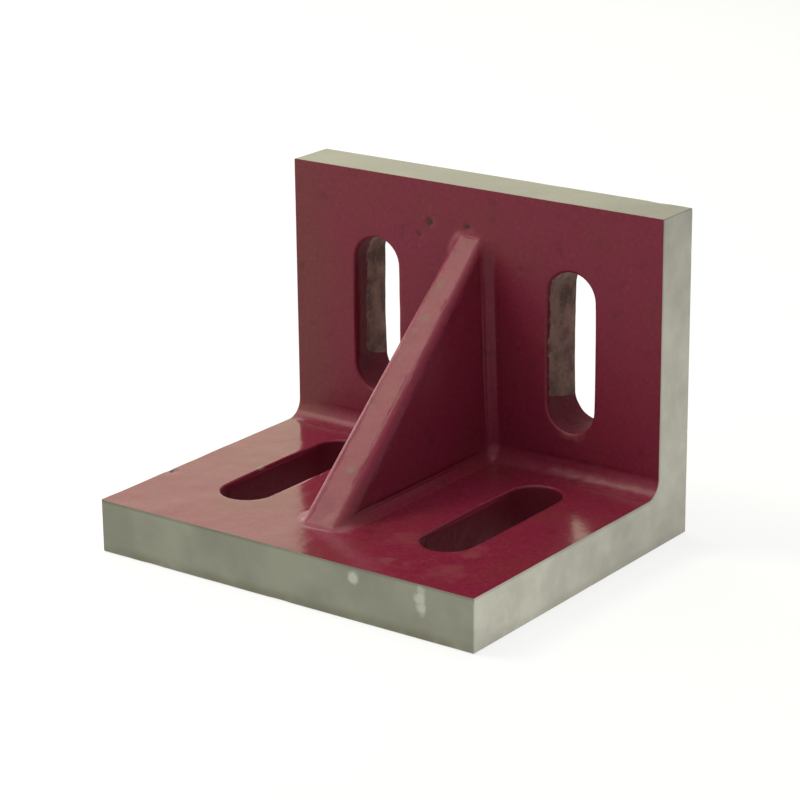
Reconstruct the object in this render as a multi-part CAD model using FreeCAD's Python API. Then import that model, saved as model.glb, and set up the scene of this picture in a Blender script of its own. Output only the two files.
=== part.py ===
import FreeCAD, Part

import math
import os

Vector = FreeCAD.Vector

# A slotted angle plate: one iron casting with a base, an upright wall square to it, and a web between
# them. The outside faces are ground square; the inside stays as cast, with drafted and rounded forms.
# Millimetres. X runs along the plate, Y from the front edge to the back face, Z up.
# The origin is the middle of the underside.

# Ground block
length = 152.4
depth = 127.0
height = 114.3
edge_break = 0.3

# The two legs and the cast corner between them
base_thickness = 18.5
wall_thickness = 18.5
inside_corner_radius = 6.5

# Cored slots, two in each leg, wider towards the ground side
slot_lip_radius = 1.1
slot_back_break = 0.3
wall_slot_centre_from_end = 35.6
wall_slot_width = 18.6
wall_slot_draft_deg = 0.3
wall_slot_above_base = 15.4
wall_slot_below_top = 23.8
base_slot_centre_from_end = 34.8
base_slot_width = 18.6
base_slot_draft_deg = 1.5
base_slot_from_wall = 12.9
base_slot_from_front = 26.6

# Web: a sloping rib in the middle, drafted so that it is thinner at the top. The rounding of its crest
# grows from the wall to the foot, and one fillet runs right round its root.
web_crest_below_top = 16.5
web_foot_from_front = 20.4
web_top_thickness = 12.0
web_draft_deg = 1.9
web_crest_radius_top = 2.6
web_crest_radius_foot = 4.0
web_root_radius = 4.4

# How near to a skin a point has to be to count as lying on it, and how many points of an edge are tried
touch = 1e-4
edge_samples = 5
# How far a cutter or a bar runs past the face it has to clear
overrun = 1.0


def at(x, y, z):
    """A point given by X, its distance forward of the back face, and Z."""
    return Vector(x, depth / 2 - y, z)


def legs():
    """Base and wall as one L section with its cast inside corner, drawn along the plate."""
    end = -length / 2
    r = inside_corner_radius
    middle_of_arc = r * (1 - math.sqrt(0.5))
    wall_end = at(end, wall_thickness, base_thickness + r)
    arc_middle = at(end, wall_thickness + middle_of_arc, base_thickness + middle_of_arc)
    base_end = at(end, wall_thickness + r, base_thickness)
    outline = [
        Part.makeLine(at(end, 0, 0), at(end, 0, height)),
        Part.makeLine(at(end, 0, height), at(end, wall_thickness, height)),
        Part.makeLine(at(end, wall_thickness, height), wall_end),
        Part.Arc(wall_end, arc_middle, base_end).toShape(),
        Part.makeLine(base_end, at(end, depth, base_thickness)),
        Part.makeLine(at(end, depth, base_thickness), at(end, depth, 0)),
        Part.makeLine(at(end, depth, 0), at(end, 0, 0)),
    ]
    return Part.Face(Part.Wire(outline)).extrude(Vector(length, 0, 0))


def web():
    """The rib: a bar down the slope, thicker and rounder towards its foot, trimmed to the corner."""
    crest_z = height - web_crest_below_top
    rise = crest_z - base_thickness
    run = depth - web_foot_from_front - wall_thickness
    slope = math.atan2(rise, run)
    crest_length = math.hypot(rise, run)
    # The bar is trimmed half-way into each leg, so its crest runs on past there at both ends
    trim_y, trim_z = wall_thickness / 2, base_thickness / 2
    first = -(wall_thickness - trim_y / 2) / math.cos(slope)
    last = crest_length + (base_thickness - trim_z / 2) / math.sin(slope)
    # It is deep enough to clear the corner where the two trims meet
    to_corner = (wall_thickness - trim_y) * math.sin(slope) + (crest_z - trim_z) * math.cos(slope)
    bar_depth = to_corner + overrun

    def section_at(along):
        def place(across, out):
            y = wall_thickness + along * math.cos(slope) + out * math.sin(slope)
            z = crest_z - along * math.sin(slope) + out * math.cos(slope)
            return at(across, y, z)

        grown = along / crest_length
        radius = web_crest_radius_top + grown * (web_crest_radius_foot - web_crest_radius_top)
        draft = math.tan(math.radians(web_draft_deg))
        half_crest = web_top_thickness / 2 + along * math.sin(slope) * draft
        return web_section(place, half_crest, radius, math.atan(math.cos(slope) * draft), bar_depth)

    bar = bar_between(section_at(first), section_at(last))
    corner = Part.makeBox(length, depth - trim_y, height - trim_z, at(-length / 2, depth, trim_z))
    return bar.common(corner)


def web_section(place, half_crest, radius, lean, bar_depth):
    """Edges round a section square to the crest; place(across, out) is the point that far out from it.

    The flanks lean outwards by that angle as they go down, and meet the crest in arcs.
    """
    turn = math.pi / 2 - lean
    tangent = radius * math.tan(turn / 2)

    def rounded_corner(side):
        on_crest = place(side * (half_crest - tangent), 0)
        on_arc = place(side * (half_crest - tangent + radius * math.sin(turn / 2)),
                       radius * math.cos(turn / 2) - radius)
        on_flank = place(side * (half_crest + tangent * math.sin(lean)), -tangent * math.cos(lean))
        root = place(side * (half_crest + bar_depth * math.tan(lean)), -bar_depth)
        return on_crest, on_arc, on_flank, root

    crest_r, arc_r, flank_r, root_r = rounded_corner(1)
    crest_l, arc_l, flank_l, root_l = rounded_corner(-1)
    return [
        Part.makeLine(crest_l, crest_r),
        Part.Arc(crest_r, arc_r, flank_r).toShape(),
        Part.makeLine(flank_r, root_r),
        Part.makeLine(root_r, root_l),
        Part.makeLine(root_l, flank_l),
        Part.Arc(flank_l, arc_l, crest_l).toShape(),
    ]


def bar_between(first, last):
    """Solid between two like sections: flat sides between their lines, ruled ones between their arcs."""
    faces = [Part.Face(Part.Wire(section)) for section in (first, last)]
    for near, far in zip(first, last):
        if isinstance(near.Curve, Part.Line):
            corners = [v.Point for v in near.Vertexes] + [v.Point for v in reversed(far.Vertexes)]
            faces.append(Part.Face(Part.makePolygon(corners + corners[:1])))
        else:
            faces.append(Part.makeRuledSurface(near, far))
    return Part.Solid(Part.Shell(faces))


def on_skin(edge, shell):
    """True when the edge lies on the shell along its whole length."""
    points = edge.discretize(edge_samples)
    return all(shell.distToShape(Part.Vertex(p))[0] < touch for p in points)


def casting():
    """Legs and web as one body, with the root fillet rolled right round the web."""
    both_legs = legs()
    rib = web()
    joined = both_legs.fuse(rib).removeSplitter()
    leg_skin, rib_skin = both_legs.Shells[0], rib.Shells[0]
    root = [e for e in joined.Edges if on_skin(e, leg_skin) and on_skin(e, rib_skin)]
    return joined.makeFillet(web_root_radius, root)


def slot_outline(to_point, width, low, high):
    """Obround from low to high along the leg; to_point turns (across, along) into a point."""
    r = width / 2
    corners = [to_point(s * r, v) for s, v in ((-1, low + r), (-1, high - r), (1, high - r), (1, low + r))]
    far_end = Part.Arc(corners[1], to_point(0, high), corners[2]).toShape()
    near_end = Part.Arc(corners[3], to_point(0, low), corners[0]).toShape()
    return Part.Wire([
        Part.makeLine(corners[0], corners[1]),
        far_end,
        Part.makeLine(corners[2], corners[3]),
        near_end,
    ])


def slot_core(place, width, low, high, draft_deg, thickness):
    """Tapered core from the cast face, at 0, to just past the ground face, at thickness.

    place(across, along, into) gives the point that far across and along the slot and into the leg.
    """
    outlines = []
    for into in (-overrun, thickness + overrun):
        grow = into * math.tan(math.radians(draft_deg))
        outlines.append(slot_outline(
            lambda across, along: place(across, along, into),
            width + 2 * grow, low - grow, high + grow))
    return Part.makeLoft(outlines, True, True)


def slot_centres(from_end):
    first = length / 2 - from_end
    return (-first, first)


def wall_slots():
    low = base_thickness + wall_slot_above_base
    high = height - wall_slot_below_top
    return [
        slot_core(lambda across, along, into, x=x: at(x + across, wall_thickness - into, along),
                  wall_slot_width, low, high, wall_slot_draft_deg, wall_thickness)
        for x in slot_centres(wall_slot_centre_from_end)
    ]


def base_slots():
    low = wall_thickness + base_slot_from_wall
    high = depth - base_slot_from_front
    return [
        slot_core(lambda across, along, into, x=x: at(x + across, along, base_thickness - into),
                  base_slot_width, low, high, base_slot_draft_deg, base_thickness)
        for x in slot_centres(base_slot_centre_from_end)
    ]


def lies_in_plane(edge, axis, value):
    return all(abs(getattr(p, axis) - value) < touch for p in edge.discretize(edge_samples))


def slot_edges(body, cores, axis, value):
    """Edges of the slots in the plane where that axis has that value."""
    skins = [core.Shells[0] for core in cores]
    flat = [e for e in body.Edges if lies_in_plane(e, axis, value)]
    return [e for e in flat if any(on_skin(e, skin) for skin in skins)]


def outside_edges(body):
    """Edges where two ground faces meet: those that lie in two of the block's six planes."""
    planes = [
        ("x", -length / 2), ("x", length / 2),
        ("y", -depth / 2), ("y", depth / 2),
        ("z", 0), ("z", height),
    ]
    return [e for e in body.Edges if sum(lies_in_plane(e, axis, value) for axis, value in planes) == 2]


def angle_plate():
    in_wall, in_base = wall_slots(), base_slots()
    body = casting().cut(in_wall + in_base)
    wall_face_y = depth / 2 - wall_thickness
    lips = slot_edges(body, in_wall, "y", wall_face_y) + slot_edges(body, in_base, "z", base_thickness)
    body = body.makeFillet(slot_lip_radius, lips)
    backs = slot_edges(body, in_wall, "y", depth / 2) + slot_edges(body, in_base, "z", 0)
    body = body.makeChamfer(slot_back_break, backs)
    return body.makeChamfer(edge_break, outside_edges(body))


os.makedirs("parts", exist_ok=True)
plate = angle_plate()
solid = plate.Solids[0]
solid.exportStep("parts/angle_plate.step")
print(len(plate.Solids), "solid,", round(solid.Volume / 1000, 1), "cm3, valid:", solid.isValid())
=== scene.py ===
import math

import bpy
import numpy as np
from mathutils import Euler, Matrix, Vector
from mathutils.geometry import delaunay_2d_cdt


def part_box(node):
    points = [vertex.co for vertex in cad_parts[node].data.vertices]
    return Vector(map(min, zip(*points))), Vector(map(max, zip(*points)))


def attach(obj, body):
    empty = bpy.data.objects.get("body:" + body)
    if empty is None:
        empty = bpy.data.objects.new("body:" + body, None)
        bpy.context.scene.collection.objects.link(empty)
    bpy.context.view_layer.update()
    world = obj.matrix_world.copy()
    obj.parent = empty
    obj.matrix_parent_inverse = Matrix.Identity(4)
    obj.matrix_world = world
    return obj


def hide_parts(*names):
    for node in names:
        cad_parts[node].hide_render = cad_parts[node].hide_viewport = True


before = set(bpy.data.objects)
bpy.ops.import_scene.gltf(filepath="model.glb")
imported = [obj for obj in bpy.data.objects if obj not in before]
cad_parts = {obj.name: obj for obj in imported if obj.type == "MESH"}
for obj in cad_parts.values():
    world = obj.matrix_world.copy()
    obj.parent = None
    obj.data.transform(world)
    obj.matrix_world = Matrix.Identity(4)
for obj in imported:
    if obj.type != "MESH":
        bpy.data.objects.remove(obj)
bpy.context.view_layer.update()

# An angle plate: one iron casting with wine-red paint on its inside faces, ground bare faces outside, and
# rough bare iron in the slots. Metres in the geometry, millimetres in the finishes.
MM = 0.001
BLOCK_LOW, BLOCK_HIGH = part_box("angle_plate")

# The three skins of the casting, which are also its material numbers
PAINTED, GROUND, CORED = 0, 1, 2
# Length of the mesh's sides on each skin, finest first, and on ground faces near the block's edges
FINENESS = {PAINTED: 1.0 * MM, CORED: 1.2 * MM, GROUND: 9.0 * MM}
EDGE_FINENESS = 1.4 * MM
EDGE_BAND = 3.0 * MM

# Two faces that meet at less than this are one smooth skin
SMOOTH_DEG = 30
# A side is drawn sharp where the directions beside it differ by more than this share of that angle
SHARP_SHARE = 0.7
# The way of meshing that fills everything between the points
WHOLE_HULL = 0
# A flat face has at least this area, in square metres; a facet of a round has less
FLAT_AREA = 300 * MM * MM
# Cast corner between the base and the wall, in millimetres
CORNER_RADIUS = 6.5


# ---- The casting's skin -------------------------------------------------------------------------------


def unit(v):
    return v / np.maximum(np.linalg.norm(v, axis=-1, keepdims=True), 1e-12)


def side_keys(pairs):
    """One number for each pair of points, whichever way round the pair is."""
    return pairs.min(axis=1).astype(np.int64) << 32 | pairs.max(axis=1)


class Skin:
    """Triangles of the casting: their points, corner directions, kind of skin and flat face, -1 for none."""

    def __init__(self, points, tris, normals=None, kinds=None, flats=None):
        self.points, self.tris = points, tris
        self.normals, self.kinds, self.flats = normals, kinds, flats

    def crossed(self):
        a, b, c = (self.points[self.tris[:, k]] for k in range(3))
        return np.cross(b - a, c - a)

    def middles(self):
        return self.points[self.tris].mean(axis=1)

    def angles(self):
        """The angle of each triangle at each of its corners."""
        out = np.empty(self.tris.shape)
        for k in range(3):
            a, b, c = (self.points[self.tris[:, (k + s) % 3]] for s in range(3))
            out[:, k] = np.arccos(np.clip((unit(b - a) * unit(c - a)).sum(axis=1), -1, 1))
        return out

    def sides(self):
        """Every side once, as its two points, and the number of each triangle's three sides."""
        pairs = self.tris[:, [[0, 1], [1, 2], [2, 0]]].reshape(-1, 2)
        first, number = np.unique(side_keys(pairs), return_index=True, return_inverse=True)[1:]
        return pairs[first], number.reshape(-1, 3)


def solid_skin():
    """The solid's own triangles, with the points that lie on each other joined."""
    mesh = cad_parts["angle_plate"].data
    mesh.calc_loop_triangles()
    points = np.empty(len(mesh.vertices) * 3)
    mesh.vertices.foreach_get("co", points)
    tris = np.empty(len(mesh.loop_triangles) * 3, int)
    mesh.loop_triangles.foreach_get("vertices", tris)
    points, tris = points.reshape(-1, 3), tris.reshape(-1, 3)
    first, same = np.unique(np.round(points, 7), axis=0, return_index=True, return_inverse=True)[1:]
    skin = Skin(points[first], same.reshape(-1)[tris])
    skin.tris = skin.tris[np.linalg.norm(skin.crossed(), axis=1) > 1e-14]
    return skin


def find_flats(skin):
    """Numbers the large flat faces."""
    crossed = skin.crossed()
    normals = unit(crossed)
    number = skin.sides()[1]
    order = np.argsort(number.reshape(-1), kind="stable")
    pairs = (order // 3).reshape(-1, 2)
    level = (normals[pairs[:, 0]] * normals[pairs[:, 1]]).sum(axis=1) > 1 - 1e-7
    pairs = pairs[level]
    group = np.arange(len(skin.tris))
    while True:
        lowest = np.minimum(group[pairs[:, 0]], group[pairs[:, 1]])
        spread = group.copy()
        np.minimum.at(spread, pairs[:, 0], lowest)
        np.minimum.at(spread, pairs[:, 1], lowest)
        spread = spread[spread]
        if (spread == group).all():
            break
        group = spread
    area = np.bincount(group, np.linalg.norm(crossed, axis=1) / 2, len(group))
    skin.flats = np.where(area[group] > FLAT_AREA, group, -1)


def find_directions(skin):
    """The skin's own direction at each corner of each triangle: true on flats and smooth across rounds."""
    normals = unit(skin.crossed())
    corners = skin.tris.reshape(-1)
    angles = skin.angles().reshape(-1)
    count = np.bincount(corners)
    by_point = np.argsort(corners, kind="stable")
    around = count[corners]
    # Every corner beside every corner that shares its point
    mine = np.repeat(np.arange(len(corners)), around)
    turn = np.arange(len(mine)) - np.repeat(np.cumsum(around) - around, around)
    other = by_point[(np.cumsum(count) - count)[corners[mine]] + turn]
    smooth = (normals[mine // 3] * normals[other // 3]).sum(axis=1) > math.cos(math.radians(SMOOTH_DEG))
    level = smooth & (skin.flats[other // 3] >= 0)
    on_flat = np.bincount(mine, level)[mine] > 0
    used = np.where(on_flat, level, smooth)
    total = np.zeros((len(corners), 3))
    np.add.at(total, mine[used], (normals[other // 3] * angles[other][:, None])[used])
    skin.normals = unit(total).reshape(-1, 3, 3)


def cast_levels(skin):
    """Height of the base's cast top, and Y of the wall's cast face: the largest flats that face in."""
    crossed, middle = skin.crossed(), skin.middles()
    normals, areas = unit(crossed), np.linalg.norm(crossed, axis=1)

    def level(axis, way, bound):
        facing = (normals[:, axis] * way > 0.9999) & (np.abs(middle[:, axis] - bound) > MM)
        values, number = np.unique(np.round(middle[facing, axis], 5), return_inverse=True)
        return values[np.argmax(np.bincount(number.reshape(-1), areas[facing]))]

    return level(2, 1, BLOCK_HIGH[2]), level(1, -1, BLOCK_LOW[1])


def find_kinds(skin):
    """Tells the painted, ground and cored skins apart by where they lie."""
    middle, normals = skin.middles(), unit(skin.crossed())
    # How far the ground skin may lie inside the block, at its broken edges
    outside_reach = 0.8 * MM
    outside = np.zeros(len(skin.tris), bool)
    for axis in range(3):
        for bound, way in ((BLOCK_LOW[axis], -1), (BLOCK_HIGH[axis], 1)):
            outside |= (np.abs(middle[:, axis] - bound) < outside_reach) & (normals[:, axis] * way > 0.5)
    past_lip = 0.6 * MM
    in_base = middle[:, 2] < BASE_TOP - past_lip
    in_wall = middle[:, 1] > WALL_FACE + past_lip
    skin.kinds = np.where(outside, GROUND, np.where(in_base | in_wall, CORED, PAINTED))


def from_edge(places):
    """How far places lie from the nearest edge of the block."""
    low, high = np.array(BLOCK_LOW), np.array(BLOCK_HIGH)
    return np.sort(np.minimum(places - low, high - places), axis=1)[:, 1]


def wanted_lengths(skin, ends, number):
    """How long the parts of each side may be: the shorter length of the two skins beside it."""
    wanted = np.full(len(ends), np.inf)
    np.minimum.at(wanted, number.reshape(-1), np.repeat([FINENESS[kind] for kind in skin.kinds], 3))
    along_edge = from_edge(skin.points[ends].mean(axis=1)) < EDGE_BAND
    wanted = np.where(along_edge, np.minimum(wanted, EDGE_FINENESS), wanted)
    lowest, highest = np.full(len(ends), np.inf), np.full(len(ends), -1)
    np.minimum.at(lowest, number.reshape(-1), np.repeat(skin.flats, 3))
    np.maximum.at(highest, number.reshape(-1), np.repeat(skin.flats, 3))
    # The inner sides of a flat face stay whole, because the flats get a new mesh afterwards
    return np.where((lowest == highest) & (lowest >= 0), np.inf, wanted)


def bulges(skin, ends, number):
    """The two inner handles of each side's curve, away from its chord: the rounder of its two skins' own."""
    first, last = np.zeros((len(ends), 3)), np.zeros((len(ends), 3))
    size = np.zeros(len(ends))
    for k in range(3):
        ahead = (k + 1) % 3
        chord = skin.points[skin.tris[:, ahead]] - skin.points[skin.tris[:, k]]
        here, there = skin.normals[:, k], skin.normals[:, ahead]
        from_here = -(chord * here).sum(axis=1, keepdims=True) * here / 3
        from_there = (chord * there).sum(axis=1, keepdims=True) * there / 3
        much = np.linalg.norm(from_here + from_there, axis=1)
        side = number[:, k]
        rows = np.argsort(much)
        rows = rows[much[rows] > size[side[rows]]]
        same_way = (ends[side, 0] == skin.tris[:, k])[:, None]
        first[side[rows]] = np.where(same_way, from_here, from_there)[rows]
        last[side[rows]] = np.where(same_way, from_there, from_here)[rows]
        size[side[rows]] = much[rows]
    return first, last


def refine(skin):
    """Cuts the sides that are too long into even parts, along the round they lie on."""
    ends, number = skin.sides()
    a, b = skin.points[ends[:, 0]], skin.points[ends[:, 1]]
    parts = np.ceil(np.linalg.norm(b - a, axis=1) / wanted_lengths(skin, ends, number)).astype(int)
    parts = np.maximum(parts, 1)
    first, last = bulges(skin, ends, number)
    side = np.repeat(np.arange(len(ends)), parts - 1)
    start = np.cumsum(parts - 1) - (parts - 1)
    t = ((np.arange(len(side)) - start[side] + 1) / parts[side])[:, None]
    curve = a[side] * (1 - t) + b[side] * t + 3 * t * (1 - t) * ((1 - t) * first[side] + t * last[side])
    start += len(skin.points)
    points = np.vstack([skin.points, curve])
    tris, normals, sources = [], [], []
    for tri, corners in enumerate(skin.tris.tolist()):
        rims = []
        for k in range(3):
            one = number[tri, k]
            inner = range(start[one], start[one] + parts[one] - 1)
            inner = list(inner) if ends[one, 0] == corners[k] else list(inner)[::-1]
            rims.append([corners[k]] + inner)
        for piece, where in ladder(rims):
            tris.append(piece)
            normals.append(where)
            sources.append(tri)
    sources = np.array(sources)
    # Directions inside a triangle come from its three corners, by how near each one is
    skin.normals = unit(np.einsum("nij,njk->nik", np.array(normals), skin.normals[sources]))
    skin.points, skin.tris = points, np.array(tris)
    skin.kinds, skin.flats = skin.kinds[sources], skin.flats[sources]


def ladder(rims):
    """Fills a triangle, given the points along its three sides, with rungs from its shortest side up."""
    k = min(range(3), key=lambda side: len(rims[side]))
    foot, right, left = rims[k] + rims[(k + 1) % 3][:1], rims[(k + 1) % 3], rims[(k + 2) % 3]
    apex = left[0]
    right = right + [apex]
    left = foot[:1] + left[:0:-1] + [apex]
    near = np.eye(3)[[k, (k + 1) % 3, (k + 2) % 3]]

    def place(side, step):
        if side == "foot":
            t = step / (len(foot) - 1)
            return foot[step], near[0] * (1 - t) + near[1] * t
        rim, corner = (left, near[0]) if side == "left" else (right, near[1])
        t = step / (len(rim) - 1)
        return rim[step], corner * (1 - t) + near[2] * t

    out = []

    def add(*places):
        found = [place(*one) for one in places]
        out.append(([point for point, where in found], [where for point, where in found]))

    for step in range(1, len(foot) - 1):
        add(("foot", step - 1), ("foot", step), ("left", 1))
    i, j = 0, 0
    if len(foot) > 2:
        add(("foot", len(foot) - 2), ("right", 0), ("left", 1))
        i = 1
    # The side that lags behind takes the next rung, up to the last point below the apex
    last_i, last_j = len(left) - 2, len(right) - 2
    while i < last_i or j < last_j:
        if j == last_j or (i < last_i and i * last_j <= j * last_i):
            add(("left", i), ("right", j), ("left", i + 1))
            i += 1
        else:
            add(("left", i), ("right", j), ("right", j + 1))
            j += 1
    add(("left", i), ("right", j), ("left", i + 1))
    return out


def inside_outline(places, starts, stops):
    """True for each place inside the closed outlines made of those straight pieces, holes left out."""
    crossings = np.zeros(len(places), int)
    for (x0, y0), (x1, y1) in zip(starts, stops):
        if y0 == y1:
            continue
        spans = (places[:, 1] >= min(y0, y1)) & (places[:, 1] < max(y0, y1))
        x = x0 + (places[:, 1] - y0) * (x1 - x0) / (y1 - y0)
        crossings += spans & (places[:, 0] < x)
    return crossings % 2 == 1


def spaced_places(low, high, step):
    """Places on a grid of even triangles."""
    xs = np.arange(low[0], high[0], step)
    ys = np.arange(low[1], high[1], step * math.sqrt(0.75))
    grid_x, grid_y = np.meshgrid(xs, ys)
    grid_x[1::2] += step / 2
    return np.column_stack([grid_x.reshape(-1), grid_y.reshape(-1)])


def flat_mesh(skin, flat):
    """New even triangles for one flat face, on the points of its outline."""
    mine = skin.flats == flat
    tris, kind = skin.tris[mine], skin.kinds[mine][0]
    normal = unit(skin.crossed()[mine].sum(axis=0))
    across = unit(np.cross(normal, np.array([0.3, 0.5, 0.81])))
    along = np.cross(normal, across)
    pairs = tris[:, [[0, 1], [1, 2], [2, 0]]].reshape(-1, 2)
    once, first, times = np.unique(side_keys(pairs), return_index=True, return_counts=True)
    outline = pairs[first[times == 1]]
    rim, local = np.unique(outline, return_inverse=True)
    local = local.reshape(-1, 2)
    origin = skin.points[rim[0]]
    flat_rim = np.column_stack([(skin.points[rim] - origin) @ across, (skin.points[rim] - origin) @ along])
    starts, stops = flat_rim[local[:, 0]], flat_rim[local[:, 1]]
    steps = [(FINENESS[kind], 0.0, np.inf)]
    if kind == GROUND:
        steps = [(EDGE_FINENESS, 0.0, EDGE_BAND), (FINENESS[kind], EDGE_BAND + FINENESS[kind] / 3, np.inf)]
    inner = []
    for step, nearest, farthest in steps:
        grid = spaced_places(flat_rim.min(axis=0), flat_rim.max(axis=0), step)
        grid = grid[inside_outline(grid, starts, stops)]
        places = origin + grid[:, :1] * across + grid[:, 1:] * along
        from_rim = np.concatenate([
            np.linalg.norm(part[:, None] - flat_rim[None], axis=2).min(axis=1)
            for part in np.array_split(grid, len(grid) // 2000 + 1)
        ])
        depth = from_edge(places) if kind == GROUND else from_rim
        inner.append(grid[(from_rim > step * 0.62) & (depth >= nearest) & (depth < farthest)])
    inner = np.vstack(inner)
    every = np.vstack([flat_rim, inner])
    # Bowed out a little for the meshing, so that no three points lie along one straight outer side
    centre = flat_rim.mean(axis=0)
    away = ((every - centre) ** 2).sum(axis=1, keepdims=True)
    bowed = (every - centre) * (1 - 0.05 * away / away.max()) / MM
    made = delaunay_2d_cdt([Vector(place) for place in bowed], local.tolist(), [], WHOLE_HULL, 1e-6, True)
    source = np.array([ids[0] for ids in made[3]])
    new_tris = source[np.array(made[2])]
    new_tris = new_tris[inside_outline(every[new_tris].mean(axis=1), starts, stops)]
    start = len(skin.points)
    numbers = np.concatenate([rim, np.arange(start, start + len(inner))])
    skin.points = np.vstack([skin.points, origin + inner[:, :1] * across + inner[:, 1:] * along])
    new_tris = numbers[new_tris]
    a, b, c = (skin.points[new_tris[:, k]] for k in range(3))
    turned = np.cross(b - a, c - a) @ normal < 0
    new_tris[turned] = new_tris[turned][:, ::-1]
    return new_tris, np.tile(normal, (len(new_tris), 3, 1)), np.full(len(new_tris), kind)


def remesh_flats(skin):
    flats = [flat for flat in np.unique(skin.flats) if flat >= 0]
    made = [flat_mesh(skin, flat) for flat in flats]
    round_ones = skin.flats < 0
    skin.tris = np.vstack([skin.tris[round_ones]] + [tris for tris, normals, kinds in made])
    skin.normals = np.concatenate([skin.normals[round_ones]] + [normals for tris, normals, kinds in made])
    skin.kinds = np.concatenate([skin.kinds[round_ones]] + [kinds for tris, normals, kinds in made])
    used, number = np.unique(skin.tris, return_inverse=True)
    skin.points, skin.tris = skin.points[used], number.reshape(-1, 3)


def sharp_sides(skin):
    """The sides where the skins beside them point different ways."""
    ends, number = skin.sides()
    limit = math.cos(math.radians(SMOOTH_DEG) * SHARP_SHARE)
    total = np.zeros((len(ends), 3))
    for k in range(3):
        mean = unit(skin.normals[:, k] + skin.normals[:, (k + 1) % 3])
        np.add.at(total, number[:, k], mean)
    # Two directions an angle apart add up to twice the cosine of half of it
    half = np.linalg.norm(total, axis=1) / 2
    return ends[half < math.sqrt((1 + limit) / 2)]


# ---- Cast, cored and worn forms -----------------------------------------------------------------------

# Lumps run between the corners of a lattice. These three numbers scatter its corners over a table of
# this many random heights.
CORNER_SCATTER = (73856093, 19349663, 83492791)
TABLE_LENGTH = 4096


def lumps(points, size, seed):
    """Smooth random heights from about -1 to 1, in lumps of that size."""
    table = np.random.default_rng(seed).uniform(-1, 1, TABLE_LENGTH)
    grid = points / size
    cell = np.floor(grid).astype(int)
    part = grid - cell
    part = part ** 3 * (part * (part * 6 - 15) + 10)
    total = np.zeros(len(points))
    for corner in np.ndindex(2, 2, 2):
        at = (cell + corner) * CORNER_SCATTER
        spot = at[:, 0] ^ at[:, 1] ^ at[:, 2]
        weight = np.where(corner, part, 1 - part).prod(axis=1)
        total += weight * table[spot % TABLE_LENGTH]
    return total


def smooth_step(value, low, high):
    t = np.clip((value - low) / (high - low), 0, 1)
    return t * t * (3 - 2 * t)


# Sand pits in the cast skin: a place in millimetres, a radius and a depth
SAND_PITS = (
    (-17.2, 45.0, 99.7, 1.3, 0.55),
    (-21.6, 45.0, 94.6, 1.1, 0.35),
    (-1.4, 45.0, 100.2, 1.2, 0.45),
    (-46.9, 4.6, 18.5, 0.9, 0.30),
    (-75.0, -28.3, 18.5, 1.2, 0.60),
    (62.0, 45.0, 90.0, 1.0, 0.25),
    (20.5, 45.0, 88.0, 1.0, 0.25),
    (-31.6, -2.1, 18.5, 1.0, 0.30),
)

SOLID = solid_skin()
BASE_TOP, WALL_FACE = cast_levels(SOLID)


def cast_relief(p):
    """Height of the painted cast skin above the true form, at points in metres."""
    # The web came out of the mould more even than the legs
    above_base = smooth_step(p[:, 2], BASE_TOP + 1 * MM, BASE_TOP + 5 * MM)
    on_web = above_base * smooth_step(-np.abs(p[:, 0]), -16 * MM, -10 * MM)
    small = 0.040 * lumps(p, 6.5 * MM, 12) + 0.014 * lumps(p, 2.9 * MM, 13)
    relief = 0.070 * lumps(p, 17 * MM, 11) + (1 - 0.65 * on_web) * small
    # The inside corner is lumpier, where the mould's sand was hardest to ram
    corner = np.hypot(p[:, 1] - WALL_FACE, p[:, 2] - BASE_TOP)
    in_corner = (1 - smooth_step(corner, 3 * MM, 8 * MM)) * smooth_step(p[:, 0], 12 * MM, 40 * MM)
    relief += in_corner * (0.16 * lumps(p, 4.2 * MM, 14) + 0.09 * lumps(p, 2.4 * MM, 15))
    for x, y, z, radius, depth in SAND_PITS:
        away = np.linalg.norm(p - np.array([x, y, z]) * MM, axis=1)
        relief -= depth * np.exp(-(away / (radius * MM)) ** 2)
    return relief * MM


def cored_relief(p):
    """Height of the rough slot walls, left by a sand core."""
    stretched = p * np.array([1.0, 0.7, 0.7])
    rough = 0.16 * lumps(stretched, 6 * MM, 21) + 0.13 * lumps(stretched, 3.2 * MM, 22)
    return (rough + 0.05 * lumps(p, 1.9 * MM, 23)) * MM


def edge_wear(p):
    """How far small knocks have pushed in the block's ground edges, in metres."""
    at_edge = 1 - smooth_step(from_edge(p), 0.5 * MM, 1.6 * MM)
    large = smooth_step(lumps(p, 9 * MM, 31), 0.55, 0.95) * 0.12
    small = smooth_step(lumps(p, 3 * MM, 32), 0.5, 0.9) * 0.05
    return at_edge * (large + small) * MM


def skin_ways(skin, *kinds):
    """Mean direction of the skins of those kinds at each point, zero where there is none."""
    rows = np.isin(skin.kinds, kinds)
    normals, angles = unit(skin.crossed()[rows]), skin.angles()[rows]
    out = np.zeros_like(skin.points)
    for k in range(3):
        np.add.at(out, skin.tris[rows, k], normals * angles[:, k, None])
    return unit(out) * (np.linalg.norm(out, axis=1, keepdims=True) > 1e-9)


def roughen(skin):
    """Moves the skin by its cast, cored and worn relief, and never outside the block."""
    p = skin.points
    cast_way, ground_way = skin_ways(skin, PAINTED, CORED), skin_ways(skin, GROUND)
    cored = np.zeros(len(p), bool)
    cored[skin.tris[skin.kinds == CORED].reshape(-1)] = True
    depth = np.maximum(BASE_TOP - p[:, 2], p[:, 1] - WALL_FACE)
    into_slot = np.where(cored, smooth_step(depth, 0.8 * MM, 3.5 * MM), 0)
    relief = (1 - into_slot) * cast_relief(p) + into_slot * cored_relief(p)
    on_cast = np.abs(cast_way).sum(axis=1) > 0
    worn = np.where(on_cast, 0, edge_wear(p))
    moved = p + cast_way * relief[:, None] - ground_way * worn[:, None]
    skin.points = np.clip(moved, BLOCK_LOW, BLOCK_HIGH)


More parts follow.
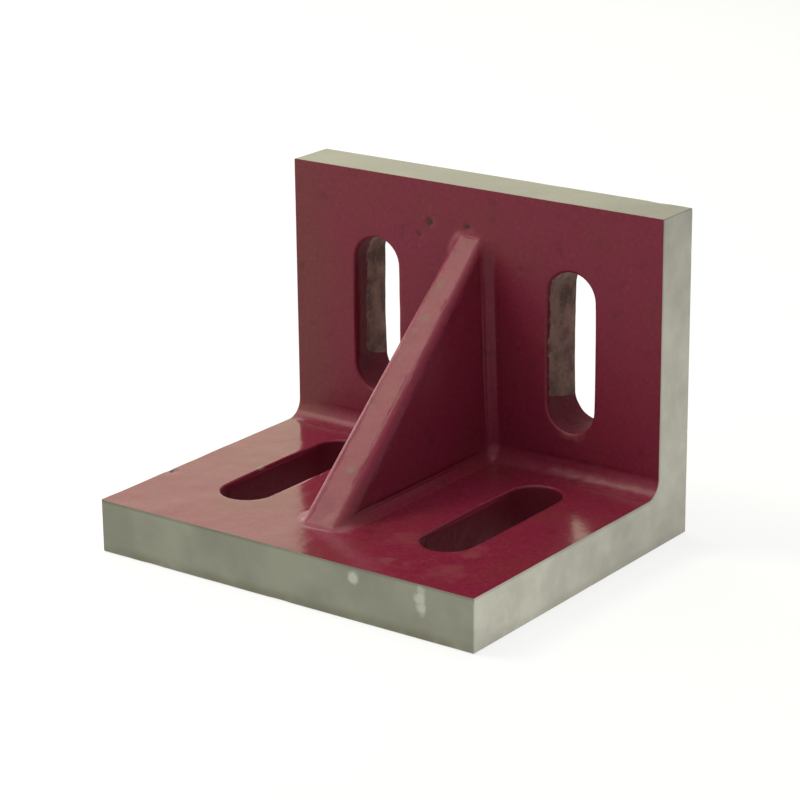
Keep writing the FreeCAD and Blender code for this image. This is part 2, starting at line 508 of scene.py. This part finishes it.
def casting_piece():
    """The angle plate as it looks, built on the solid's own skin."""
    skin = SOLID
    find_flats(skin)
    find_directions(skin)
    find_kinds(skin)
    refine(skin)
    remesh_flats(skin)
    sharp = sharp_sides(skin)
    roughen(skin)
    mesh = bpy.data.meshes.new("angle_plate_casting")
    mesh.from_pydata(skin.points.tolist(), [], skin.tris.tolist())
    mesh.polygons.foreach_set("material_index", skin.kinds.astype(np.int32))
    mesh.polygons.foreach_set("use_smooth", np.ones(len(skin.tris), bool))
    made = np.empty(len(mesh.edges) * 2, np.int32)
    mesh.edges.foreach_get("vertices", made)
    is_sharp = np.isin(side_keys(made.reshape(-1, 2)), side_keys(sharp))
    mesh.edges.foreach_set("use_edge_sharp", is_sharp)
    mesh.update()
    print("casting:", len(skin.points), "points,", len(skin.tris), "triangles")
    piece = bpy.data.objects.new("angle_plate_casting", mesh)
    bpy.context.collection.objects.link(piece)
    return piece


# ---- Finishes -----------------------------------------------------------------------------------------


class Wire:
    """A shader socket that takes part in Python sums; each sum adds its Math node."""

    def __init__(self, tree, output=None):
        self.tree = tree
        self.output = output

    def node(self, kind, settings=None, inputs=None, out=0):
        """Any node: its settings first, then the values or wires of its sockets."""
        made = self.tree.nodes.new(kind)
        for name, value in (settings or {}).items():
            setattr(made, name, value)
        for name, value in (inputs or {}).items():
            if isinstance(value, Wire):
                self.tree.links.new(value.output, made.inputs[name])
            else:
                made.inputs[name].default_value = value
        return Wire(self.tree, made.outputs[out] if len(made.outputs) else None)

    def math(self, operation, *values):
        return self.node("ShaderNodeMath", {"operation": operation}, dict(enumerate(values)))

    def __add__(self, other):
        return self.math("ADD", self, other)

    def __sub__(self, other):
        return self.math("SUBTRACT", self, other)

    def __rsub__(self, other):
        return self.math("SUBTRACT", other, self)

    def __mul__(self, other):
        return self.math("MULTIPLY", self, other)

    def __neg__(self):
        return self.math("MULTIPLY", self, -1.0)

    __radd__ = __add__
    __rmul__ = __mul__

    def at_least(self, other):
        return self.math("MAXIMUM", self, other)

    def at_most(self, other):
        return self.math("MINIMUM", self, other)

    def step(self, low, high):
        """0 below low, 1 above high, and smooth between; the other way round if low is the larger."""
        inputs = {"Value": self, "From Min": low, "From Max": high}
        return self.node("ShaderNodeMapRange", {"interpolation_type": "SMOOTHSTEP"}, inputs)

    def mixed(self, low, high):
        """A colour between two, as this value goes from 0 to 1."""
        inputs = {
            0: self,
            6: low if isinstance(low, Wire) else (*low, 1.0),
            7: high if isinstance(high, Wire) else (*high, 1.0),
        }
        return self.node("ShaderNodeMix", {"data_type": "RGBA", "clamp_factor": True}, inputs, 2)


class Finish:
    """One material, with the place on the casting in millimetres at hand."""

    def __init__(self, name):
        self.material = bpy.data.materials.new(name)
        self.material.use_nodes = True
        self.tree = self.material.node_tree
        self.shader = self.tree.nodes["Principled BSDF"]
        self.wire = Wire(self.tree)
        place = self.wire.node("ShaderNodeTexCoord", out=3)
        scale = {0: place, 1: (1 / MM, 1 / MM, 1 / MM)}
        self.place = self.wire.node("ShaderNodeVectorMath", {"operation": "MULTIPLY"}, scale)
        self.x, self.y, self.z = self.parts(self.place)
        facing = self.wire.node("ShaderNodeNewGeometry", out=1)
        self.facing = self.parts(facing)

    def parts(self, vector):
        split_up = self.wire.node("ShaderNodeSeparateXYZ", inputs={0: vector})
        node = split_up.output.node
        return [Wire(self.tree, node.outputs[k]) for k in range(3)]

    def grain(self, size, detail=2.0, stretch=(1, 1, 1), roughness=0.5):
        """Noise from 0 to 1, with its middle at 0.5, in grains of that size in millimetres."""
        place = self.place
        if stretch != (1, 1, 1):
            scale = {0: place, 1: tuple(1 / s for s in stretch)}
            place = self.wire.node("ShaderNodeVectorMath", {"operation": "MULTIPLY"}, scale)
        inputs = {"Vector": place, "Scale": 1 / size, "Detail": detail, "Roughness": roughness}
        return self.wire.node("ShaderNodeTexNoise", {"noise_dimensions": "3D"}, inputs)

    def spots(self, size, radius, seed=(0, 0, 0)):
        """1 inside scattered round spots, one to a cell of that size, and 0 outside them."""
        moved = self.wire.node("ShaderNodeVectorMath", {"operation": "ADD"}, {0: self.place, 1: seed})
        inputs = {"Vector": moved, "Scale": 1 / size}
        away = self.wire.node("ShaderNodeTexVoronoi", {"feature": "F1"}, inputs)
        return (away * size).step(radius, radius * 0.5)

    def marks(self, places, ragged):
        """The strongest of a list of marks at each point, their outlines broken up by a wire."""
        strongest = None
        for x, y, z, radius, shown in places:
            there = {0: self.place, 1: (x, y, z)}
            away = self.wire.node("ShaderNodeVectorMath", {"operation": "DISTANCE"}, there, "Value")
            away = away + (ragged - 0.5) * radius * 2.5
            mark = away.step(radius, radius * 0.1) * shown
            strongest = mark if strongest is None else strongest.at_least(mark)
        return strongest

    def under_skin(self):
        """How deep a point lies below the cast skin of the two legs, in millimetres."""
        back = (self.y - (WALL_FACE / MM - CORNER_RADIUS)).at_least(0.0)
        down = (BASE_TOP / MM + CORNER_RADIUS - self.z).at_least(0.0)
        return self.wire.math("SQRT", back * back + down * down) - CORNER_RADIUS

    def bump(self, height, distance):
        """height is a wire from 0 to 1; distance is what 1 stands for, in millimetres."""
        inputs = {"Height": height, "Distance": distance * MM, "Strength": 1.0}
        return self.wire.node("ShaderNodeBump", None, inputs)

    def shaded(self, colour, shade):
        """A colour made lighter or darker by a wire around 1."""
        grey = self.wire.node("ShaderNodeCombineColor", None, {0: shade, 1: shade, 2: shade})
        settings = {"data_type": "RGBA", "blend_type": "MULTIPLY"}
        return self.wire.node("ShaderNodeMix", settings, {0: 1.0, 6: colour, 7: grey}, 2)

    def set(self, **values):
        """Feeds the sockets of the shader, whose names have _ for a space here."""
        for name, value in values.items():
            socket = self.shader.inputs[name.replace("_", " ")]
            if isinstance(value, Wire):
                self.tree.links.new(value.output, socket)
            else:
                socket.default_value = value
        return self.material


# Colours of the finishes: enamel, bare casting and ground iron
WINE = (0.212, 0.0170, 0.0440)
WINE_WARM = (0.190, 0.0250, 0.0340)
WINE_BROWN = (0.165, 0.0360, 0.0330)
WINE_DARK = (0.060, 0.0090, 0.0150)
WINE_DUSTY = (0.300, 0.1100, 0.1050)
# The enamel darkened as painted shade, for inside the slots
WINE_SLOT_SHADED = (0.150, 0.0150, 0.0290)
CHIPPED = (0.035, 0.0260, 0.0240)
CHALKY = (0.240, 0.180, 0.135)
RAW_IRON = (0.330, 0.200, 0.175)
RAW_IRON_DARK = (0.150, 0.085, 0.075)
RAW_IRON_PALE = (0.440, 0.370, 0.320)
# Ground iron in lit and shaded copies, one to each way a face looks: painted light and shade for how much of
# the room each face reflects. The top is the darkest, the front darker than the ends.
GROUND_TOP_SHADED = (0.126, 0.119, 0.108)
GROUND_END_LIT = (0.440, 0.430, 0.360)
GROUND_FRONT_SHADED = (0.240, 0.244, 0.188)
# Painted shade along the low edges of the ground faces
LOW_EDGE_SHADE_BROWN = (0.150, 0.130, 0.085)
GROUND_DAB = (0.520, 0.530, 0.450)

# Marks on the paint and on the ground front, each a place in millimetres, a radius and how strongly it
# shows from 0 to 1
DARK_MARKS = (
    (-17.2, 45.0, 99.7, 1.9, 1.0),
    (-21.6, 45.0, 94.6, 1.6, 0.6),
    (-1.4, 45.0, 100.2, 1.7, 0.8),
    (-75.4, -28.3, 18.3, 1.9, 1.0),
    (-46.9, 4.6, 18.5, 1.1, 0.7),
    (-31.6, -2.1, 18.5, 1.2, 0.7),
)
CHALKY_MARKS = (
    (-51.3, -8.3, 18.5, 2.4, 0.9),
    (-1.8, 29.1, 83.5, 2.4, 0.6),
    (-0.9, 19.1, 74.4, 2.6, 0.6),
    (-2.3, 15.2, 71.0, 1.8, 0.5),
    (-2.0, 6.1, 62.8, 2.2, 0.5),
    (0.8, -26.1, 33.8, 2.4, 0.7),
    (-3.5, -8.0, 50.0, 1.8, 0.4),
)
# Smears of dust on the base; the last, on the lip at the foot of the right wall slot, is a painted highlight
SMEARS_AND_LIP_SHEEN = (
    (53.0, -32.0, 18.5, 9.0, 0.25),
    (56.0, -50.0, 18.5, 10.0, 0.22),
    (69.0, 10.0, 18.5, 8.0, 0.15),
    (36.0, -52.0, 18.5, 6.0, 0.30),
    (30.0, -35.0, 18.5, 8.0, 0.18),
    (5.0, -38.0, 18.5, 7.0, 0.40),
    (41.0, 45.5, 34.2, 6.0, 0.60),
)
GROUND_DABS = (
    (29.9, -63.5, 15.0, 2.6, 0.6),
    (56.0, -63.5, 16.5, 1.8, 0.4),
    (56.0, -63.5, 13.6, 2.8, 0.6),
    (56.4, -63.5, 10.6, 2.6, 0.6),
)


def wine_coat(f):
    """Colour of the enamel: wine red, warmer in clouds, and browner down the wall's left end."""
    cloud = f.grain(24, 2.0)
    colour = (cloud.step(0.46, 0.70) * 0.7).mixed(WINE, WINE_WARM)
    on_wall = (-f.facing[1]).step(0.5, 0.9)
    left_end = f.x.step(-52.0, -76.0) * on_wall * (0.35 + f.grain(13, 3.0, (1, 1, 3)))
    return left_end.at_most(0.8).mixed(colour, WINE_BROWN)


def wine_red_paint():
    """Thick enamel over the cast skin: glossy where it has run level on the base, duller elsewhere."""
    f = Finish("wine_red_paint")
    small = f.grain(5.5, 3.0)
    fine = f.grain(1.5, 3.0, roughness=0.6)
    colour = wine_coat(f)
    colour = (small.step(0.58, 0.80) * 0.35).mixed(colour, WINE_DARK)
    colour = (fine.step(0.50, 0.75) * 0.16).mixed(colour, WINE_DUSTY)
    colour = (fine.step(0.46, 0.25) * 0.30).mixed(colour, WINE_DARK)
    # The smears are dusty marks, and one of them a painted highlight on a slot lip
    colour = f.marks(SMEARS_AND_LIP_SHEEN, small).mixed(colour, WINE_DUSTY)
    specks = f.spots(11, 0.55, (3, 8, 1)) * f.grain(19).step(0.5, 0.62)
    colour = (specks * 0.8).mixed(colour, WINE_DARK)
    dark, chalky = f.marks(DARK_MARKS, fine), f.marks(CHALKY_MARKS, fine)
    colour = dark.mixed(colour, CHIPPED)
    colour = chalky.mixed(colour, CHALKY)
    level = f.facing[2].step(0.93, 0.995)
    skin = f.grain(2.6, 3.0)
    sags = f.grain(9.0, 2.0)
    height = skin * 0.5 + sags
    dull = 0.34 - level * 0.23 + small * 0.08
    return f.set(
        Base_Color=colour,
        Roughness=dull + (specks + dark + chalky) * 0.25,
        IOR=1.32,
        Normal=f.bump(height, 0.05),
    )


def ground_iron():
    """Bare iron, ground flat, in lit and shaded copies by the way each face looks, with painted shade along
    the low edges, most on the front.
    """
    f = Finish("ground_iron")
    front = (-f.facing[1]).step(0.5, 0.9)
    level = f.facing[2].step(0.5, 0.9)
    upright = 1 - front.at_least(level)
    # Each face takes its own painted lightness: the ends the lit copy, the top and front shaded copies
    colour = level.mixed(GROUND_END_LIT, GROUND_TOP_SHADED)
    colour = front.mixed(colour, GROUND_FRONT_SHADED)
    broad = f.grain(20, 4.0, (1.0, 1.0, 1.2))
    cloud = f.grain(6.0, 4.0, roughness=0.6)
    # Painted light and shade: the upright faces lighter towards the front and darker near the top, the top
    # face darker towards the right
    forward = f.y.step(35.0, -45.0)
    painted_light_upright = 0.94 + forward * 0.22 - f.z.step(96.0, 113.0) * 0.16
    painted_light_level = 1.06 - f.x.step(10.0, 76.0) * 0.24
    shade = 0.87 + broad.step(0.34, 0.66) * 0.18 + cloud.step(0.35, 0.75) * (0.12 - front * 0.06)
    shade = shade * (front + upright * painted_light_upright + level * painted_light_level)
    # Paint that crept over the edge has left a dark line beside it
    at_paint = f.under_skin().step(1.3, 0.3) * (0.5 + cloud * 0.6)
    colour = f.shaded(colour, shade * (1 - at_paint * 0.30))
    # Painted shade: the ground faces darker along their low edge, most on the front
    low_edge_shade = f.z.step(4.5, 0.5) * f.grain(6, 3.0).step(0.2, 0.6)
    colour = (low_edge_shade * (0.25 + front * 0.35)).mixed(colour, LOW_EDGE_SHADE_BROWN)
    colour = f.marks(GROUND_DABS, cloud).mixed(colour, GROUND_DAB)
    grinding = f.grain(0.35, 2.0, (60, 1, 1))
    return f.set(
        Base_Color=colour,
        Metallic=1.0,
        Roughness=0.40 + cloud * 0.12 - level * 0.18,
        Normal=f.bump(grinding, 0.006),
    )


def cored_iron():
    """Rough bare casting in the slots, with paint that has gone a ragged way in from the mouth. The paint
    there is darkened as painted shade, and the roofs of the wall slots are lightened as painted light.
    """
    f = Finish("cored_iron")
    broad = f.grain(7, 3.0)
    fine = f.grain(1.6, 4.0, roughness=0.65)
    iron = broad.step(0.35, 0.68).mixed(RAW_IRON_DARK, RAW_IRON)
    iron = (fine.step(0.50, 0.75) * 0.5).mixed(iron, RAW_IRON_PALE)
    in_wall = f.y.step(WALL_FACE / MM, WALL_FACE / MM + 0.2)
    # Painted light: surfaces that face down in the wall slots are made paler, as if lit from below
    painted_roof_light = (-f.facing[2]).step(0.35, 0.8) * in_wall
    iron = (painted_roof_light * fine.step(0.3, 0.7)).mixed(iron, RAW_IRON_PALE)
    # Depth from the painted side, and how far in the paint has reached there
    depth = (f.y - WALL_FACE / MM) * in_wall + (BASE_TOP / MM - f.z) * (1 - in_wall)
    low_end = f.z.step(46.0, 39.0) * in_wall
    on_left = f.x.step(5.0, -5.0)
    reach = 21.0 - in_wall * (19.6 - on_left * 5.2) + low_end * 22.0
    ragged = (f.grain(4.5, 4.0, roughness=0.6) - 0.5) * (9.0 - in_wall * 4.0)
    painted = (depth + ragged - reach).step(0.5, -0.5)
    # The paint inside the slots is a darker copy of the enamel, painted shade for the slots' depth
    colour = painted.mixed(iron, WINE_SLOT_SHADED)
    return f.set(
        Base_Color=colour,
        Roughness=0.60 + fine * 0.2 - painted * 0.1,
        IOR=1.20,
        Normal=f.bump(fine, 0.22),
    )


# ---- Floor, light and camera --------------------------------------------------------------------------

WHITE = (1.0, 1.0, 1.0, 1.0)
# Half the floor's length in metres, and how far below the plate it lies
FLOOR_HALF = 4.0
FLOOR_DROP = 0.2 * MM
# The floor's colour as it lights the plate. Seen directly it has a darker lit colour, which takes the
# shadow, and a glow that brings it up to white.
FLOOR_COLOUR = (0.78, 0.78, 0.77, 1.0)
FLOOR_LIT = (0.26, 0.26, 0.26, 1.0)
FLOOR_GLOW = 0.78
# Strength of the sky as light, and as it is seen
SKY_LIGHT = 0.3
SKY_SEEN = 1.0


def seen_directly(wire):
    """1 for rays that see a thing, straight, in gloss or through glass, and 0 for its light on others."""
    rays = wire.node("ShaderNodeLightPath").output.node.outputs
    camera, glossy, through = (
        Wire(wire.tree, rays[name]) for name in ("Is Camera Ray", "Is Glossy Ray", "Is Transmission Ray")
    )
    return camera.at_least(glossy).at_least(through)


def pale_floor():
    """A plain floor that looks white and still shows the plate's soft shadow."""
    mesh = bpy.data.meshes.new("floor")
    corners = [(x * FLOOR_HALF, y * FLOOR_HALF, 0) for x, y in ((-1, -1), (1, -1), (1, 1), (-1, 1))]
    mesh.from_pydata(corners, [], [(0, 1, 2, 3)])
    floor = bpy.data.objects.new("floor", mesh)
    floor.location.z = -FLOOR_DROP
    bpy.context.collection.objects.link(floor)
    material = bpy.data.materials.new("pale_floor")
    material.use_nodes = True
    tree = material.node_tree
    tree.nodes.clear()
    wire = Wire(tree)
    body = wire.node("ShaderNodeBsdfDiffuse", None, {"Color": FLOOR_COLOUR})
    lit = wire.node("ShaderNodeBsdfDiffuse", None, {"Color": FLOOR_LIT})
    white = wire.node("ShaderNodeEmission", None, {"Color": WHITE, "Strength": FLOOR_GLOW})
    shown = wire.node("ShaderNodeAddShader", None, {0: lit, 1: white})
    mixed = wire.node("ShaderNodeMixShader", None, {0: seen_directly(wire), 1: body, 2: shown})
    wire.node("ShaderNodeOutputMaterial", None, {"Surface": mixed})
    mesh.materials.append(material)


def studio_sky():
    """Even soft light all round, which looks white."""
    world = bpy.data.worlds.new("studio")
    bpy.context.scene.world = world
    world.use_nodes = True
    tree = world.node_tree
    tree.nodes.clear()
    wire = Wire(tree)
    strength = seen_directly(wire) * (SKY_SEEN - SKY_LIGHT) + SKY_LIGHT
    sky = wire.node("ShaderNodeBackground", None, {"Color": WHITE, "Strength": strength})
    wire.node("ShaderNodeOutputWorld", None, {"Surface": sky})


# Soft boxes round the plate: the heading they lie on seen from it, anticlockwise from +X, and their rise,
# both in degrees, then their width and height in metres, their brightness, where a box of 1 would look
# just white, and the share of blue in their warm light
SOFT_BOXES = {
    "box_overhead": (180, 88, 0.90, 0.90, 1.45, 0.92),
    "box_high_left": (202, 53, 0.48, 0.40, 7.00, 0.74),
    "box_left": (205, 36, 0.70, 0.60, 0.20, 0.92),
    "box_low_left": (205, 14, 1.10, 0.50, 1.45, 0.92),
    "box_behind_left": (145, 40, 0.70, 0.60, 0.91, 0.80),
    "box_low_behind": (158, 14, 0.62, 0.50, 1.95, 0.80),
    "box_low_back": (126, 18, 0.50, 0.40, 0.50, 0.30),
}
# How far off they stand, the height of the point that they face, and the watts in a square metre of a
# box of brightness 1
BOX_DISTANCE = 1.2
BOX_TARGET = 0.05
BOX_WATTS = 4


def soft_box(name, heading, rise, width, height, brightness, blue):
    """A soft box that looks at the plate from that heading and rise."""
    lamp = bpy.data.lights.new(name, "AREA")
    lamp.shape = "RECTANGLE"
    lamp.size = width
    lamp.size_y = height
    lamp.energy = BOX_WATTS * width * height * brightness
    lamp.color = (1.0, 0.9 + 0.1 * blue, blue)
    box = bpy.data.objects.new(name, lamp)
    level, up = math.radians(heading), math.radians(rise)
    way = Vector((math.cos(level) * math.cos(up), math.sin(level) * math.cos(up), math.sin(up)))
    box.location = way * BOX_DISTANCE + Vector((0, 0, BOX_TARGET))
    box.rotation_euler = way.to_track_quat("Z", "Y").to_euler()
    bpy.context.collection.objects.link(box)


def camera():
    """The camera, from the front right and above."""
    place = Vector((0.53086, -0.71757, 0.34886))
    target = Vector((0.00259, -0.00045, 0.05132))
    data = bpy.data.cameras.new("camera")
    data.lens = 126.6
    data.sensor_width = 36
    roll_deg = -0.637
    cam = bpy.data.objects.new("camera", data)
    cam.location = place
    turn = (target - place).to_track_quat("-Z", "Y")
    roll = Euler((0, 0, math.radians(roll_deg))).to_quaternion()
    cam.rotation_euler = (turn @ roll).to_euler()
    bpy.context.collection.objects.link(cam)
    bpy.context.scene.camera = cam


bpy.context.scene.view_settings.view_transform = "Standard"
plate = casting_piece()
for finish in (wine_red_paint(), ground_iron(), cored_iron()):
    plate.data.materials.append(finish)
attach(plate, "root")
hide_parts("angle_plate")
pale_floor()
studio_sky()
for box_name, box_form in SOFT_BOXES.items():
    soft_box(box_name, *box_form)
camera()
